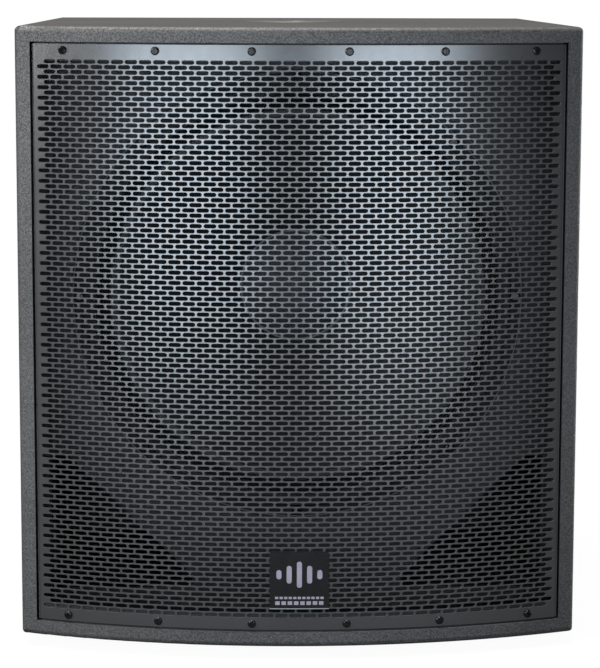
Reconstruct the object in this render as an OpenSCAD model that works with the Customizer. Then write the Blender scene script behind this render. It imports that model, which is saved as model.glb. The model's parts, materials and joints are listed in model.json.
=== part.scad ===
// Subwoofer cabinet: one 18 inch driver behind a bowed steel grille, two corner vents,
// pole socket on top, side handles, rear input plate. Millimetres, +Z up, front towards -Y.
// The origin is on the floor, at the middle of the whole object's width and depth.

/* [Cabinet] */
// Width across the side panels
body_w = 552; // [548:1:560]
// Height of the box without its feet
body_h = 604; // [596:1:640]
// Depth from the crown of the bowed front to the rear face
body_d = 620; // [580:1:640]
// How far the middle of the front stands ahead of its corners
bow = 56; // [40:1:60]
// Thickness of the side, top and bottom panels
panel_t = 15; // [15:0.5:16]
// Thickness of the baffle
baffle_t = 18; // [18:0.5:21]
// Thickness of the back panel
back_t = 18; // [16:0.5:21]
// Rounding of the outer edges
edge_r = 5.5; // [4:0.5:7]
// Distance of the baffle behind the front corners
baffle_set = 70; // [60:1:74]

/* [Grille] */
// Thickness of the grille sheet
grille_t = 1.5; // [1:0.1:2]
// How far the grille sits behind the front edges
grille_set = 3; // [2.5:0.1:4]
// Gap between the grille and the panels
grille_gap = 2; // [1:0.1:3]
// Distance of the grille screws from the panels
grille_screw_in = 8; // [7:0.5:10]
// Spacing of the grille screws along the bow
grille_screw_pitch = 93.5; // [90:0.5:95]
// Depth of the curved strips behind the grille
cleat_d = 20; // [16:1:24]
// Height of the curved strips behind the grille
cleat_h = 18; // [15:1:20]

/* [Vents] */
// Distance of each vent's outer side from the middle
vent_out = 251; // [248:0.5:253]
// Distance of each vent's inner end from the middle
vent_in = 107; // [104:1:112]
// Height of the vents' lower edge above the box's underside
vent_low = 30; // [26:1:34]
// Height of the vents
vent_h = 137; // [130:1:140]
// Width of the blunt upper end of a vent
vent_top_w = 19; // [14:1:24]
// Thickness of the sloping duct boards
duct_t = 12; // [10:1:15]
// Length of the ducts behind the baffle
duct_len = 250; // [200:10:260]

/* [Driver] */
// Height of the driver's centre above the box's underside
driver_z = 332; // [326:0.5:336]
// Radius of the driver's bolt circle
driver_pitch_r = 220; // [219:0.5:221]
// Outer radius of the driver's rim
rim_r = 227; // [226.5:0.5:231]
// Radius of the basket's wall
pot_r = 211; // [210:0.5:211.5]
// Outer radius of the cone
cone_r = 187; // [185:0.5:188]
// Depth of the cone from its edge to its neck
cone_depth = 98; // [96:0.5:99]
// Radius of the voice coil former
former_r = 50.8; // [50.5:0.1:51]
// Radius of the dust cap
cap_r = 57; // [55:0.5:59]
// Radius of the magnet ring
magnet_r = 110; // [100:1:115]

/* [Pole socket] */
// Bore radius of the pole socket
pole_bore_r = 18.1; // [17.9:0.1:18.5]
// Depth of the pole socket's bore from the flange's face
pole_bore_len = 100; // [88:1:107]
// Outer radius of the pole socket's flange
pole_flange_r = 54; // [52:0.5:56]
// Thickness of the pole socket's flange
pole_flange_t = 3; // [2.8:0.1:4]
// Height of the flange's face above the top panel it is let into
pole_proud = 0.6; // [0.5:0.1:1.2]

/* [Handles] */
// Length of a handle's opening
handle_len = 196; // [180:1:200]
// Height of a handle's opening
handle_high = 108; // [100:1:112]
// Depth of a handle's dish behind the side face
handle_deep = 62; // [58:1:66]
// Radius of a handle's bar
bar_r = 13; // [12:0.5:14]
// Height of the handles above the box's underside
handle_z = 385; // [370:1:400]

/* [Input plate] */
// Width of the input plate
plate_w = 150; // [146:1:160]
// Height of the input plate
plate_h = 120; // [116:1:130]
// Height of the input plate's centre above the box's underside
plate_z = 190; // [180:1:200]
// Bore radius of a twist-lock socket
twist_bore_r = 9.75; // [9.7:0.05:9.9]
// Bore radius of a jack socket
jack_bore_r = 3.2; // [3.2:0.05:3.3]

/* [Feet] */
// Height of the rubber feet
foot_h = 12; // [10:1:14]
// Radius of the rubber feet
foot_r = 20; // [18:0.5:22]

/* [Build] */
// Sub-part to draw, or all of them

/* [Hidden] */

$fn = 96;
big_fn = 720;         // segments of the bow's large circles
eps = 0.05;           // touch gap between curved fits
cut = 1;              // how far cutters run past a face
rear_proud = 5;       // what stands behind the rear face
flange_proud = 2.5;   // what stands outside a side face
half_w = body_w / 2;
in_w = half_w - panel_t;
z_low = foot_h;
z_top = foot_h + body_h;
z_floor = z_low + panel_t;
z_ceil = z_top - panel_t;
y_front = -(body_d + rear_proud) / 2;
y_corner = y_front + bow;
y_rear = y_front + body_d;
y_baf = y_corner + baffle_set;
y_baf_back = y_baf + baffle_t;
y_back_in = y_rear - back_t;
front_r = (half_w * half_w + bow * bow) / (2 * bow);
y_arc = y_front + front_r;
grille_r = front_r - grille_set;
grille_in_r = grille_r - grille_t;
z_drv = z_low + driver_z;
y_pole = y_corner + (body_d - bow) / 2;
steel = "#2b2c2e";
paint = "#5c5a57";
paint_dark = "#3a3a3a";
wood = "#b08d5e";
zinc = "#b9bcc0";
rubber = "#1b1b1c";
paper = "#26272a";
nylon = "#1f2022";
wool = "#d8d4c8";

// ---------------------------------------------------------------- helpers

// Rounded rectangle about the origin
module rrect(w, h, r) {
    square([w - 2 * r, h], center = true);
    square([w, h - 2 * r], center = true);
    for (sx = [-1, 1], sy = [-1, 1])
        translate([sx * (w / 2 - r), sy * (h / 2 - r)]) circle(r = r);
}

// Block from one corner to the other
module span(a, b) {
    translate(a) cube(b - a);
}

// Solid of the bowed front's circle, of a radius, between two heights
module bow_disc(r, z_a, z_b) {
    translate([0, y_arc, z_a]) cylinder(r = r, h = z_b - z_a, $fn = big_fn);
}

// Stands its children on the bow at an arc length from the middle and a height,
// with local +Z pointing out of the front
module on_bow(s, z, r) {
    a = s / front_r * 180 / PI;
    translate([0, y_arc, z]) rotate([0, 0, a]) translate([0, -r, 0]) rotate([90, 0, 0])
        children();
}

// Stands its children on the driver's axis, local +Z towards the rear
module on_driver(depth = 0) {
    translate([0, y_baf + depth, z_drv]) rotate([-90, 0, 0]) children();
}

// Ring between two radii and two heights
module ring(r_in, r_out, z_a, z_b) {
    rotate_extrude() polygon([[r_in, z_a], [r_out, z_a], [r_out, z_b], [r_in, z_b]]);
}

// Domed screw head with a cross recess, seated at z = 0, and its shank below
module pan_screw(head_r, head_h, shank_r, shank_len) {
    steps = 6;
    slot = head_r * 0.27;
    difference() {
        rotate_extrude() polygon(concat(
            [[0, -shank_len], [shank_r * 0.6, -shank_len], [shank_r, -shank_len + shank_r],
             [shank_r, 0], [head_r, 0]],
            [for (i = [0 : steps]) let (a = 90 * i / steps)
                [head_r * (0.55 + 0.45 * cos(a)) * (i == steps ? 0 : 1),
                 head_h * (0.35 + 0.65 * sin(a))]]
        ));
        for (a = [0, 90]) rotate([0, 0, a])
            translate([-head_r * 0.58, -slot / 2, head_h * 0.45])
                cube([head_r * 1.16, slot, head_h]);
    }
}

function unit(v) = v / norm(v);
function bez(p, t) = (1 - t) ^ 3 * p[0] + 3 * t * (1 - t) ^ 2 * p[1]
    + 3 * t ^ 2 * (1 - t) * p[2] + t ^ 3 * p[3];
// Points of several cubic pieces joined end to end
function route(segs, n) = [
    for (s = [0 : len(segs) - 1]) for (i = [(s == 0 ? 0 : 1) : n]) bez(segs[s], i / n)
];
function along(path, i) =
    unit(path[min(i + 1, len(path) - 1)] - path[max(i - 1, 0)]);

// Round lead swept along a path; ref is a direction the path never points in
module lead(path, r, ref) {
    sides = 8;
    n = len(path);
    pts = [for (i = [0 : n - 1])
        let (t = along(path, i), u = unit(cross(t, ref)), v = cross(t, u))
            for (k = [0 : sides - 1])
                path[i] + r * (cos(360 * k / sides) * u + sin(360 * k / sides) * v)];
    faces = concat(
        [[for (k = [0 : sides - 1]) k]],
        [for (i = [0 : n - 2]) for (k = [0 : sides - 1])
            let (a = i * sides + k, b = i * sides + (k + 1) % sides)
                each [[a, a + sides, b], [b, a + sides, b + sides]]],
        [[for (k = [sides - 1 : -1 : 0]) (n - 1) * sides + k]]
    );
    polyhedron(points = pts, faces = faces, convexity = 6);
}

// ---------------------------------------------------------------- cabinet shell

// Everything inside the outer rounding of the closed box. The front is the bow.
module envelope(z_a, z_b) {
    far = body_d * 1.2;
    intersection() {
        // bowed front with a rolled upper and lower edge
        translate([0, y_arc, 0]) rotate_extrude($fn = big_fn) {
            translate([0, z_low]) square([front_r - edge_r, body_h]);
            translate([0, z_low + edge_r]) square([front_r, body_h - 2 * edge_r]);
            for (z = [z_low + edge_r, z_top - edge_r])
                translate([front_r - edge_r, z]) circle(r = edge_r, $fn = 48);
        }
        // the four long edges running front to rear
        translate([0, far, (z_low + z_top) / 2]) rotate([90, 0, 0])
            linear_extrude(height = 2 * far) rrect(body_w, body_h, edge_r);
        // the rear's upper and lower edges
        translate([-half_w - cut, 0, 0]) rotate([90, 0, 90])
            linear_extrude(height = body_w + 2 * cut)
                translate([y_rear - body_d, (z_low + z_top) / 2])
                    rrect(2 * body_d, body_h, edge_r);
        span([-half_w - cut, y_front - cut, z_a], [half_w + cut, y_rear + cut, z_b]);
    }
}

// Cutters that round the upright edges, front and rear, on both sides
module upright_rounding() {
    e = 0.02;
    rc = front_r - edge_r + e;
    xc = half_w - edge_r + e;
    yc = y_arc - sqrt(rc * rc - xc * xc);
    ux = xc / rc;
    uy = (yc - y_arc) / rc;
    reach = 3 * edge_r;
    for (m = [0, 1]) mirror([m, 0, 0]) {
        translate([0, 0, z_low - cut]) linear_extrude(height = body_h + 2 * cut)
            difference() {
                polygon([[xc, yc], [xc + reach, yc], [xc + reach, yc - reach],
                    [xc + ux * reach, yc + uy * reach]]);
                translate([xc, yc]) circle(r = edge_r, $fn = 48);
            }
        translate([half_w - edge_r, y_rear - edge_r, z_low - cut])
            linear_extrude(height = body_h + 2 * cut)
                difference() {
                    square(reach);
                    circle(r = edge_r, $fn = 48);
                }
    }
}

module top_panel() {
    color(paint) difference() {
        envelope(z_ceil, z_top + cut);
        upright_rounding();
        translate([0, y_pole, z_ceil - cut]) cylinder(r = pole_bore_r + 4.4, h = panel_t + 2 * cut);
        for (a = [0 : 90 : 270]) translate([0, y_pole, z_ceil - cut]) rotate([0, 0, a])
            translate([pole_screw_r, 0, 0]) cylinder(r = 2.05, h = panel_t + 2 * cut);
        translate([0, y_pole, z_pole_seat]) cylinder(r = pole_flange_r + 0.4, h = panel_t);
    }
}
pole_screw_r = 40;
z_pole_face = z_top + pole_proud;
z_pole_seat = z_pole_face - pole_flange_t;
// Depth of the recesses that take the flange's screw heads
pole_head_deep = 1.6;

foot_x = half_w - 52;
foot_y = [y_corner + 75, y_rear - 62];

module bottom_panel() {
    color(paint) difference() {
        envelope(z_low - cut, z_floor);
        upright_rounding();
        for (sx = [-1, 1], y = foot_y) translate([sx * foot_x, y, z_low - cut])
            cylinder(r = 2.05, h = 13);
    }
}

handle_y = y_corner + 256;
handle_zc = z_low + handle_z;
dish_wall = 3;
dish_len = handle_len + 2 * dish_wall;
dish_high = handle_high + 2 * dish_wall;
flange_len = dish_len + 30;
flange_high = dish_high + 26;
handle_screw_y = [-(flange_len / 2 - 8), 0, flange_len / 2 - 8];

// Side panel on the +X side
module side_panel() {
    difference() {
        intersection() {
            bow_disc(front_r, z_floor, z_ceil);
            span([in_w, y_front, z_floor], [half_w, y_rear, z_ceil]);
        }
        upright_rounding();
        translate([in_w - cut, handle_y, handle_zc]) rotate([90, 0, 90])
            linear_extrude(height = panel_t + 2 * cut)
                rrect(dish_len + 1, dish_high + 1, 15.5);
        handle_screw_holes();
    }
}
module handle_screw_holes() {
    for (y = handle_screw_y, sz = [-1, 1])
        translate([half_w - 13, handle_y + y, handle_zc + sz * (flange_high / 2 - 6)])
            rotate([0, 90, 0]) cylinder(r = 1.85, h = 13 + cut);
}
module side_panel_right() { color(paint) side_panel(); }
module side_panel_left() { color(paint) mirror([1, 0, 0]) side_panel(); }

plate_zc = z_low + plate_z;
plate_hole_w = plate_w - 30;
plate_hole_h = plate_h - 30;
plate_screw_x = plate_w / 2 - 7.5;
plate_screw_z = plate_h / 2 - 7.5;

module back_panel() {
    color(paint) difference() {
        span([-in_w, y_back_in, z_floor], [in_w, y_rear, z_ceil]);
        translate([0, y_rear + cut, plate_zc]) rotate([90, 0, 0])
            linear_extrude(height = back_t + 2 * cut) rrect(plate_hole_w, plate_hole_h, 10);
        for (sx = [-1, 1], sz = [-1, 1])
            translate([sx * plate_screw_x, y_rear - 14, plate_zc + sz * plate_screw_z])
                rotate([-90, 0, 0]) cylinder(r = 1.85, h = 14 + cut);
    }
}

// Outline of the right-hand vent, in x and height
vent_z = z_low + vent_low;
vent_slope = vent_out - vent_top_w + vent_z + vent_h;
module vent_outline() {
    polygon([[vent_out, vent_z], [vent_out, vent_z + vent_h],
        [vent_out - vent_top_w, vent_z + vent_h],
        [vent_in, vent_z + vent_h - (vent_out - vent_top_w - vent_in)], [vent_in, vent_z]]);
}

module baffle() {
    color(paint_dark) difference() {
        span([-in_w, y_baf, z_floor], [in_w, y_baf_back, z_ceil]);
        on_driver(-cut) cylinder(r = pot_r + 0.6, h = baffle_t + 2 * cut, $fn = 360);
        for (i = [0 : 7]) on_driver(-cut) rotate([0, 0, 45 * i])
            translate([driver_pitch_r, 0, 0]) cylinder(r = 4.1, h = baffle_t + 2 * cut);
        for (m = [0, 1]) mirror([m, 0, 0]) translate([0, y_baf_back + cut, 0])
            rotate([90, 0, 0]) linear_extrude(height = baffle_t + 2 * cut) vent_outline();
    }
}

// Sloping board that closes a corner off as a duct, right-hand side.
// The slope rises outwards, clear of the vent's long side.
duct_clear = 3;
duct_k = vent_z + vent_h - (vent_out - vent_top_w) + duct_clear * sqrt(2);
module duct_board() {
    k = duct_k;
    w = duct_t * sqrt(2);
    translate([0, y_baf_back + duct_len, 0]) rotate([90, 0, 0]) linear_extrude(height = duct_len)
        polygon([[z_floor - k, z_floor], [in_w, in_w + k], [in_w, in_w + k + w],
            [z_floor - k - w, z_floor]]);
}
module duct_board_right() { color(paint_dark) duct_board(); }
module duct_board_left() { color(paint_dark) mirror([1, 0, 0]) duct_board(); }

brace_y = y_baf_back + 312;
brace_t = 15;
brace_bar = 78;
module window_brace() {
    color(wood) difference() {
        span([-in_w, brace_y, z_floor], [in_w, brace_y + brace_t, z_ceil]);
        translate([0, brace_y + brace_t + cut, (z_floor + z_ceil) / 2]) rotate([90, 0, 0])
            linear_extrude(height = brace_t + 2 * cut)
                rrect(2 * (in_w - brace_bar), z_ceil - z_floor - 2 * brace_bar, 50);
    }
}

// Square battens behind the baffle's upper part and inside the back panel
block = 20;
module glue_blocks() {
    side_low = duct_k + in_w + duct_t * sqrt(2) + 8;
    color(wood) {
        span([-in_w + block + 2, y_baf_back, z_ceil - block],
            [in_w - block - 2, y_baf_back + block, z_ceil]);
        span([-in_w + block + 2, y_back_in - block, z_ceil - block],
            [in_w - block - 2, y_back_in, z_ceil]);
        span([-in_w + block + 2, y_back_in - block, z_floor],
            [in_w - block - 2, y_back_in, z_floor + block]);
        for (m = [0, 1]) mirror([m, 0, 0]) {
            span([in_w - block, y_baf_back, side_low], [in_w, y_baf_back + block, z_ceil]);
            span([in_w - block, y_back_in - block, z_floor], [in_w, y_back_in, z_ceil]);
        }
    }
}

// ---------------------------------------------------------------- grille and badge

grille_x = in_w - grille_gap;
screw_s = [for (k = [-2.5 : 1 : 2.5]) k * grille_screw_pitch];
grille_screw_z = [z_floor + grille_screw_in, z_ceil - grille_screw_in];
strip_x = grille_x - grille_t - 1;

module grille_strip(z_a, z_b, z_s) {
    difference() {
        intersection() {
            bow_disc(grille_in_r - eps, z_a, z_b);
            span([-strip_x, y_front, z_a], [strip_x, y_corner + cleat_d * 2, z_b]);
        }
        bow_disc(grille_in_r - cleat_d, z_a - cut, z_b + cut);
        for (s = screw_s) on_bow(s, z_s, grille_in_r - cleat_d + 4)
            cylinder(r = 1.85, h = cleat_d);
    }
}
module grille_strip_top() {
    color(paint_dark) grille_strip(z_ceil - cleat_h, z_ceil, grille_screw_z[1]);
}
module grille_strip_bottom() {
    color(paint_dark) grille_strip(z_floor, z_floor + cleat_h, grille_screw_z[0]);
}

badge_w = 58;
badge_h = 58;
badge_z = z_low + 67;
badge_t = 1.8;
badge_bevel = 0.9;
badge_r = 3;
stud_z = badge_z + 8;
stud_x = 18;

module grille() {
    z_a = z_floor + grille_gap;
    z_b = z_ceil - grille_gap;
    fold = 16;
    y_fold = y_arc - sqrt(grille_r * grille_r - grille_x * grille_x);
    color(steel) difference() {
        union() {
            intersection() {
                difference() {
                    bow_disc(grille_r, z_a, z_b);
                    bow_disc(grille_in_r, z_a - cut, z_b + cut);
                }
                span([-grille_x, y_front - cut, z_a], [grille_x, y_corner + fold, z_b]);
            }
            for (sx = [-1, 1]) intersection() {
                bow_disc(grille_r - grille_t / 2, z_a, z_b);
                span([min(sx * grille_x, sx * (grille_x - grille_t)), y_front, z_a],
                    [max(sx * grille_x, sx * (grille_x - grille_t)), y_fold + fold, z_b]);
            }
        }
        for (s = screw_s, z = grille_screw_z) on_bow(s, z, grille_in_r - cut)
            cylinder(r = 2.6, h = grille_t + 2 * cut);
        for (sx = [-1, 1]) translate([sx * stud_x, y_front, stud_z]) rotate([-90, 0, 0])
            cylinder(r = 1.8, h = 10);
    }
}

module grille_screws() {
    color(steel) for (s = screw_s, z = grille_screw_z) on_bow(s, z, grille_r + eps)
        pan_screw(4.1, 2.6, 1.75, 16);
}

module badge() {
    r_back = grille_r + eps;
    r_face = r_back + badge_t;
    low = badge_z - badge_h / 2;
    high = badge_z + badge_h / 2;
    color(nylon) {
        intersection() {
            // plate bent to the grille, its lower edge bevelled
            translate([0, y_arc, 0]) rotate_extrude($fn = big_fn) polygon([[r_back, low],
                [r_face - badge_bevel, low], [r_face, low + badge_bevel],
                [r_face, high], [r_back, high]]);
            translate([0, y_corner, 0]) rotate([90, 0, 0]) linear_extrude(height = bow + cut) {
                translate([-badge_w / 2, low - cut]) square([badge_w, badge_h - badge_r + cut]);
                translate([badge_r - badge_w / 2, low]) square([badge_w - 2 * badge_r, badge_h]);
                for (sx = [-1, 1]) translate([sx * (badge_w / 2 - badge_r), high - badge_r])
                    circle(r = badge_r);
            }
        }
        for (sx = [-1, 1]) translate([sx * stud_x, y_front + grille_set - badge_t / 2, stud_z])
            rotate([-90, 0, 0]) cylinder(r = 1.5, h = 7);
    }
}

// Raised plain pattern: five bars of rising and falling height over two rows of dashes
bar_high = [9, 17.5, 26, 17.5, 9];
bar_w = 5;
bar_pitch = 10;
bars_up = 6;
dash_rows = [[-17.3, 2.2, 11], [-22.5, 3.6, 8]];  // height from the middle, width, count
dash_run = 49;
dash_fill = 0.72;
emblem_t = 0.4;
module badge_emblem() {
    r_back = grille_r + badge_t + 2 * eps;
    color("#a8a3b2") intersection() {
        difference() {
            bow_disc(r_back + emblem_t, badge_z - badge_h / 2, badge_z + badge_h / 2);
            bow_disc(r_back, badge_z - badge_h, badge_z + badge_h);
        }
        translate([0, y_corner, badge_z]) rotate([90, 0, 0]) linear_extrude(height = bow + cut) {
            for (i = [0 : 4]) translate([(i - 2) * bar_pitch, bars_up])
                rrect(bar_w, bar_high[i], bar_w * 0.45, $fn = 32);
            for (row = dash_rows) for (i = [0 : row[2] - 1])
                translate([(i + 0.5) * dash_run / row[2] - dash_run / 2, row[0]])
                    square([dash_fill * dash_run / row[2], row[1]], center = true);
        }
    }
}

module badge_clips() {
    color(zinc) for (sx = [-1, 1])
        translate([sx * stud_x, y_front + grille_set + grille_t + 1.1, stud_z])
            rotate([-90, 0, 0]) ring(1.55, 5, 0, 0.8);
}

// ---------------------------------------------------------------- driver

hub_z = 118;
hub_t = 8;
plate_z0 = hub_z + hub_t;
top_plate_t = 12;
magnet_t = 24;
back_plate_t = 14;
ledge_r = 216;
seat = 3;
rim_t = 7;

module basket() {
    color(paint_dark) on_driver() difference() {
        union() {
            rotate_extrude($fn = 360) polygon([[206, -seat], [ledge_r, -seat],
                [ledge_r, -rim_t], [rim_r - 1, -rim_t], [rim_r, -rim_t + 1], [rim_r, 0],
                [pot_r, 0], [pot_r, 22], [206, 22]]);
            ring(60, 108, hub_z, plate_z0);
            ring(97, 112, 107, hub_z + 2);
            for (i = [0 : 7]) rotate([0, 0, 22.5 + 45 * i]) translate([0, 7, 0])
                rotate([90, 0, 0]) linear_extrude(height = 14)
                    polygon([[206.5, 4], [pot_r, 4], [pot_r, 24], [118, plate_z0],
                        [101, plate_z0], [101, hub_z], [113, 104], [196, 26]]);
        }
        for (i = [0 : 7]) rotate([0, 0, 45 * i]) translate([driver_pitch_r, 0, -rim_t - cut])
            cylinder(r = 3.3, h = rim_t + 2 * cut);
        for (i = [0 : 7]) rotate([0, 0, 45 * i]) translate([80, 0, hub_z - cut])
            cylinder(r = 3.1, h = hub_t + 2 * cut);
    }
}

gasket_r = 214.2;
module front_gasket() {
    color(rubber) on_driver() ring(207, gasket_r, -8, -4);
}

module driver_screws() {
    color(steel) for (i = [0 : 7]) on_driver(-rim_t) rotate([0, 0, 45 * i])
        translate([driver_pitch_r, 0, 0]) rotate([180, 0, 0])
            pan_screw(5.2, 3.6, 2.9, 26);
}

// Threaded sleeves in the baffle for the driver's screws
nut_flange_r = 8.5;
module tee_nuts() {
    color(zinc) for (i = [0 : 7]) on_driver(baffle_t) rotate([0, 0, 45 * i])
        translate([driver_pitch_r, 0, 0]) rotate_extrude() polygon([[2.95, -11], [4.05, -11],
            [4.05, 0], [nut_flange_r, 0], [nut_flange_r, 1.5], [2.95, 1.5]]);
}

// Rolled surround between the cone's edge and the basket's ledge
roll_in = cone_r + 0.5;
roll_out = 206;
surround_t = 0.8;
function roll(r) = let (u = (r - roll_in) / (roll_out - roll_in))
    -seat - 0.9 - 3.6 * sin(540 * u) * sin(540 * u) * (sin(540 * u) >= 0 ? 1 : -0.75);
module surround() {
    n = 42;
    mid = [for (i = [0 : n]) let (r = roll_in + (roll_out - roll_in) * i / n) [r, roll(r)]];
    up = concat([[cone_r - 5, -seat - 0.9]], mid, [[ledge_r - 0.6, -seat - 0.9]]);
    color(rubber) on_driver() rotate_extrude($fn = 180) polygon(concat(
        up, [for (i = [len(up) - 1 : -1 : 0]) up[i] + [0, surround_t]]));
}

// Depth of the cone's front face at a radius
cone_lip = cone_r - 6;
function cone_face(r) = -seat - 0.05
    + cone_depth * pow(max(cone_lip - r, 0) / (cone_lip - former_r), 1.1);
cone_t = 1.2;
module cone() {
    n = 14;
    neck = former_r + 0.1;
    face = concat([[cone_r, -seat - 0.05]],
        [for (i = [0 : n]) let (r = cone_lip + (neck - cone_lip) * i / n) [r, cone_face(r)]]);
    color(paper) on_driver() rotate_extrude($fn = 180) polygon(concat(
        face, [[neck, cone_face(neck) + cone_t * 2.4]],
        [for (i = [n - 1 : -1 : 0]) let (r = cone_lip + (neck - cone_lip) * i / n)
            [r, cone_face(r) + cone_t]],
        [[cone_r, -seat - 0.05 + cone_t]]));
}

module dust_cap() {
    rise = 17;
    sr = (cap_r * cap_r + rise * rise) / (2 * rise);
    a = asin(cap_r / sr);
    z_rim = cone_face(cap_r) - 0.15;
    n = 16;
    arc_pts = [for (i = [0 : n]) let (b = a * i / n)
        [i == 0 ? 0 : sr * sin(b), z_rim - rise + sr * (1 - cos(b))]];
    color(paper) on_driver() rotate_extrude($fn = 180) polygon(concat(
        arc_pts, [for (i = [n : -1 : 0]) arc_pts[i] + [i == n ? -0.9 : 0, i == n ? -0.2 : 0.8]]));
}

coil_low = plate_z0 + top_plate_t / 2 - 10;
coil_high = coil_low + 20;
module coil_former() {
    color("#c9a24a") on_driver() ring(former_r - 0.5, former_r,
        cone_face(former_r + 0.1) - 2, coil_high + 1);
}
module voice_coil() {
    color("#b5652c") on_driver() ring(former_r, former_r + 1.1, coil_low, coil_high);
}

// Corrugated disc that centres the coil
module spider() {
    n = 56;
    zc = 106;
    up = concat([[former_r + 0.05, zc]],
        [for (i = [0 : n]) let (r = 56 + (96 - 56) * i / n)
            [r, zc + 1.8 * sin(360 * 6 * i / n)]],
        [[109, zc]]);
    color("#a9804a") on_driver() rotate_extrude($fn = 120) polygon(concat(
        up, [for (i = [len(up) - 1 : -1 : 0]) up[i] + [0, 0.7]]));
}

gap_r = former_r + 1.9;
pole_r = former_r - 1.2;
module motor_top_plate() {
    color(zinc) on_driver() difference() {
        ring(gap_r, magnet_r - 8, plate_z0, plate_z0 + top_plate_t);
        for (i = [0 : 7]) rotate([0, 0, 45 * i]) translate([80, 0, plate_z0 - cut])
            cylinder(r = 2.6, h = 11);
    }
}
module motor_magnet() {
    z = plate_z0 + top_plate_t;
    color("#33302f") on_driver() rotate_extrude() polygon([[56, z], [magnet_r - 1.5, z],
        [magnet_r, z + 1.5], [magnet_r, z + magnet_t - 1.5], [magnet_r - 1.5, z + magnet_t],
        [56, z + magnet_t]]);
}
module motor_back_plate() {
    z = plate_z0 + top_plate_t + magnet_t;
    color(zinc) on_driver() rotate_extrude() polygon([[15, plate_z0], [pole_r, plate_z0],
        [pole_r, z - 8], [pole_r - 3, z], [magnet_r - 8, z], [magnet_r - 8, z + back_plate_t - 3],
        [magnet_r - 11, z + back_plate_t], [21, z + back_plate_t], [15, z + back_plate_t - 6]]);
}
module motor_bolts() {
    color(zinc) for (i = [0 : 7]) on_driver(hub_z) rotate([0, 0, 45 * i])
        translate([80, 0, 0]) rotate([180, 0, 0]) pan_screw(4.8, 3.4, 2.5, 16);
}

// Terminal strip on the rear face of the basket's ring, towards the floor
strip_y = 103.5;
strip_end = 134;
strip_t = 3;
post_y = 123;
tab_x = 9;
tab_end = 141;
module terminal_strip() {
    color("#6b3f22") on_driver() difference() {
        translate([-17, strip_y, plate_z0]) cube([34, strip_end - strip_y, strip_t]);
        for (sx = [-1, 1]) translate([sx * tab_x, post_y, plate_z0 - cut])
            cylinder(r = 1.5, h = strip_t + 2 * cut);
    }
}
module terminal_tabs() {
    color(zinc) on_driver() for (sx = [-1, 1]) translate([sx * tab_x, 0, 0]) {
        translate([0, post_y, plate_z0 - 3]) cylinder(r = 2.2, h = 3);
        translate([0, post_y, plate_z0 - cut]) cylinder(r = 1.5, h = strip_t + 2 * cut);
        translate([0, post_y, plate_z0 + strip_t]) cylinder(r = 2.6, h = 3);
        translate([-3.1, post_y, plate_z0 + strip_t + 1]) cube([6.2, tab_end - post_y, 0.8]);
    }
}

// Braided leads from the strip, over a loop, to the back of the cone
module tinsel_leads() {
    r_c = 92;
    z_c = cone_face(r_c) + cone_t * 1.0 + 1.2;
    color("#b5652c") on_driver() for (sx = [-1, 1]) {
        a = [sx * tab_x, post_y, plate_z0 - 3.1];
        b = [sx * (tab_x + 8), r_c, z_c];
        lead(route([[a, a + [0, 4, -16], b + [0, 14, 14], b]], 20), 0.9, [1, 0.02, 0]);
    }
}

// Leads: from the driver's tabs back over the brace's lower bar to the sockets' rear ends,
// with short jumpers from socket to socket and down to the jacks
brace_top = z_floor + brace_bar;
clip_y = brace_y + brace_t / 2;
wire_r = 2.1;
jumper_r = 1.3;
module driver_wire(sx) {
    y_sock = y_rear - 17.8;
    y_jack = y_rear - 27.6;
    a = [sx * tab_x, y_baf + plate_z0 + strip_t + 1.4, z_drv - tab_end - 0.4];
    c = [sx * 5, clip_y, brace_top + 3.1];
    d = [twist_x + sx * 5, y_sock, twist_z - 1];
    skew = [1, 0.013, 0.007];
    lead(route([
        [a, a + [0, 2, -50], c + [0, -110, 10], c],
        [c, c + [0, 60, -6], d + [0, -70, -20], d]
    ], 28), wire_r, skew);
    e = [twist_x + sx * 5, y_sock, twist_z + 6 + 1.5 * sx];
    f = [-twist_x + sx * 5, y_sock, twist_z + 6 + 1.5 * sx];
    lead(route([[e, e + [0, -20 - 4 * sx, 0], f + [0, -20 - 4 * sx, 0], f]], 16),
        jumper_r, [0, 0.02, 1]);
    for (side = [-1, 1]) {
        g = [side * twist_x + sx * 5, y_sock, twist_z - 9];
        h = [side * twist_x + sx * 4, y_jack, jack_z + 3];
        lead(route([[g, g + [0, -16, 0], h + [0, -12, 4], h]], 12), jumper_r, skew);
    }
}
module wire_red() { color("#a8261f") driver_wire(1); }
module wire_black() { color("#17181a") driver_wire(-1); }
module wire_clips() {
    color(nylon) difference() {
        translate([-13, clip_y - 5, brace_top]) cube([26, 10, 7.6]);
        for (sx = [-1, 1]) translate([sx * 5, clip_y - 5 - cut, brace_top + 3.1])
            rotate([-90, 0, 0]) cylinder(r = wire_r + 0.5, h = 10 + 2 * cut);
    }
}

// ---------------------------------------------------------------- rear input plate

plate_t = 2;
twist_x = 30;
twist_z = plate_zc + 18;
jack_z = plate_zc - 28;
twist_cut_r = 12.1;

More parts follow.
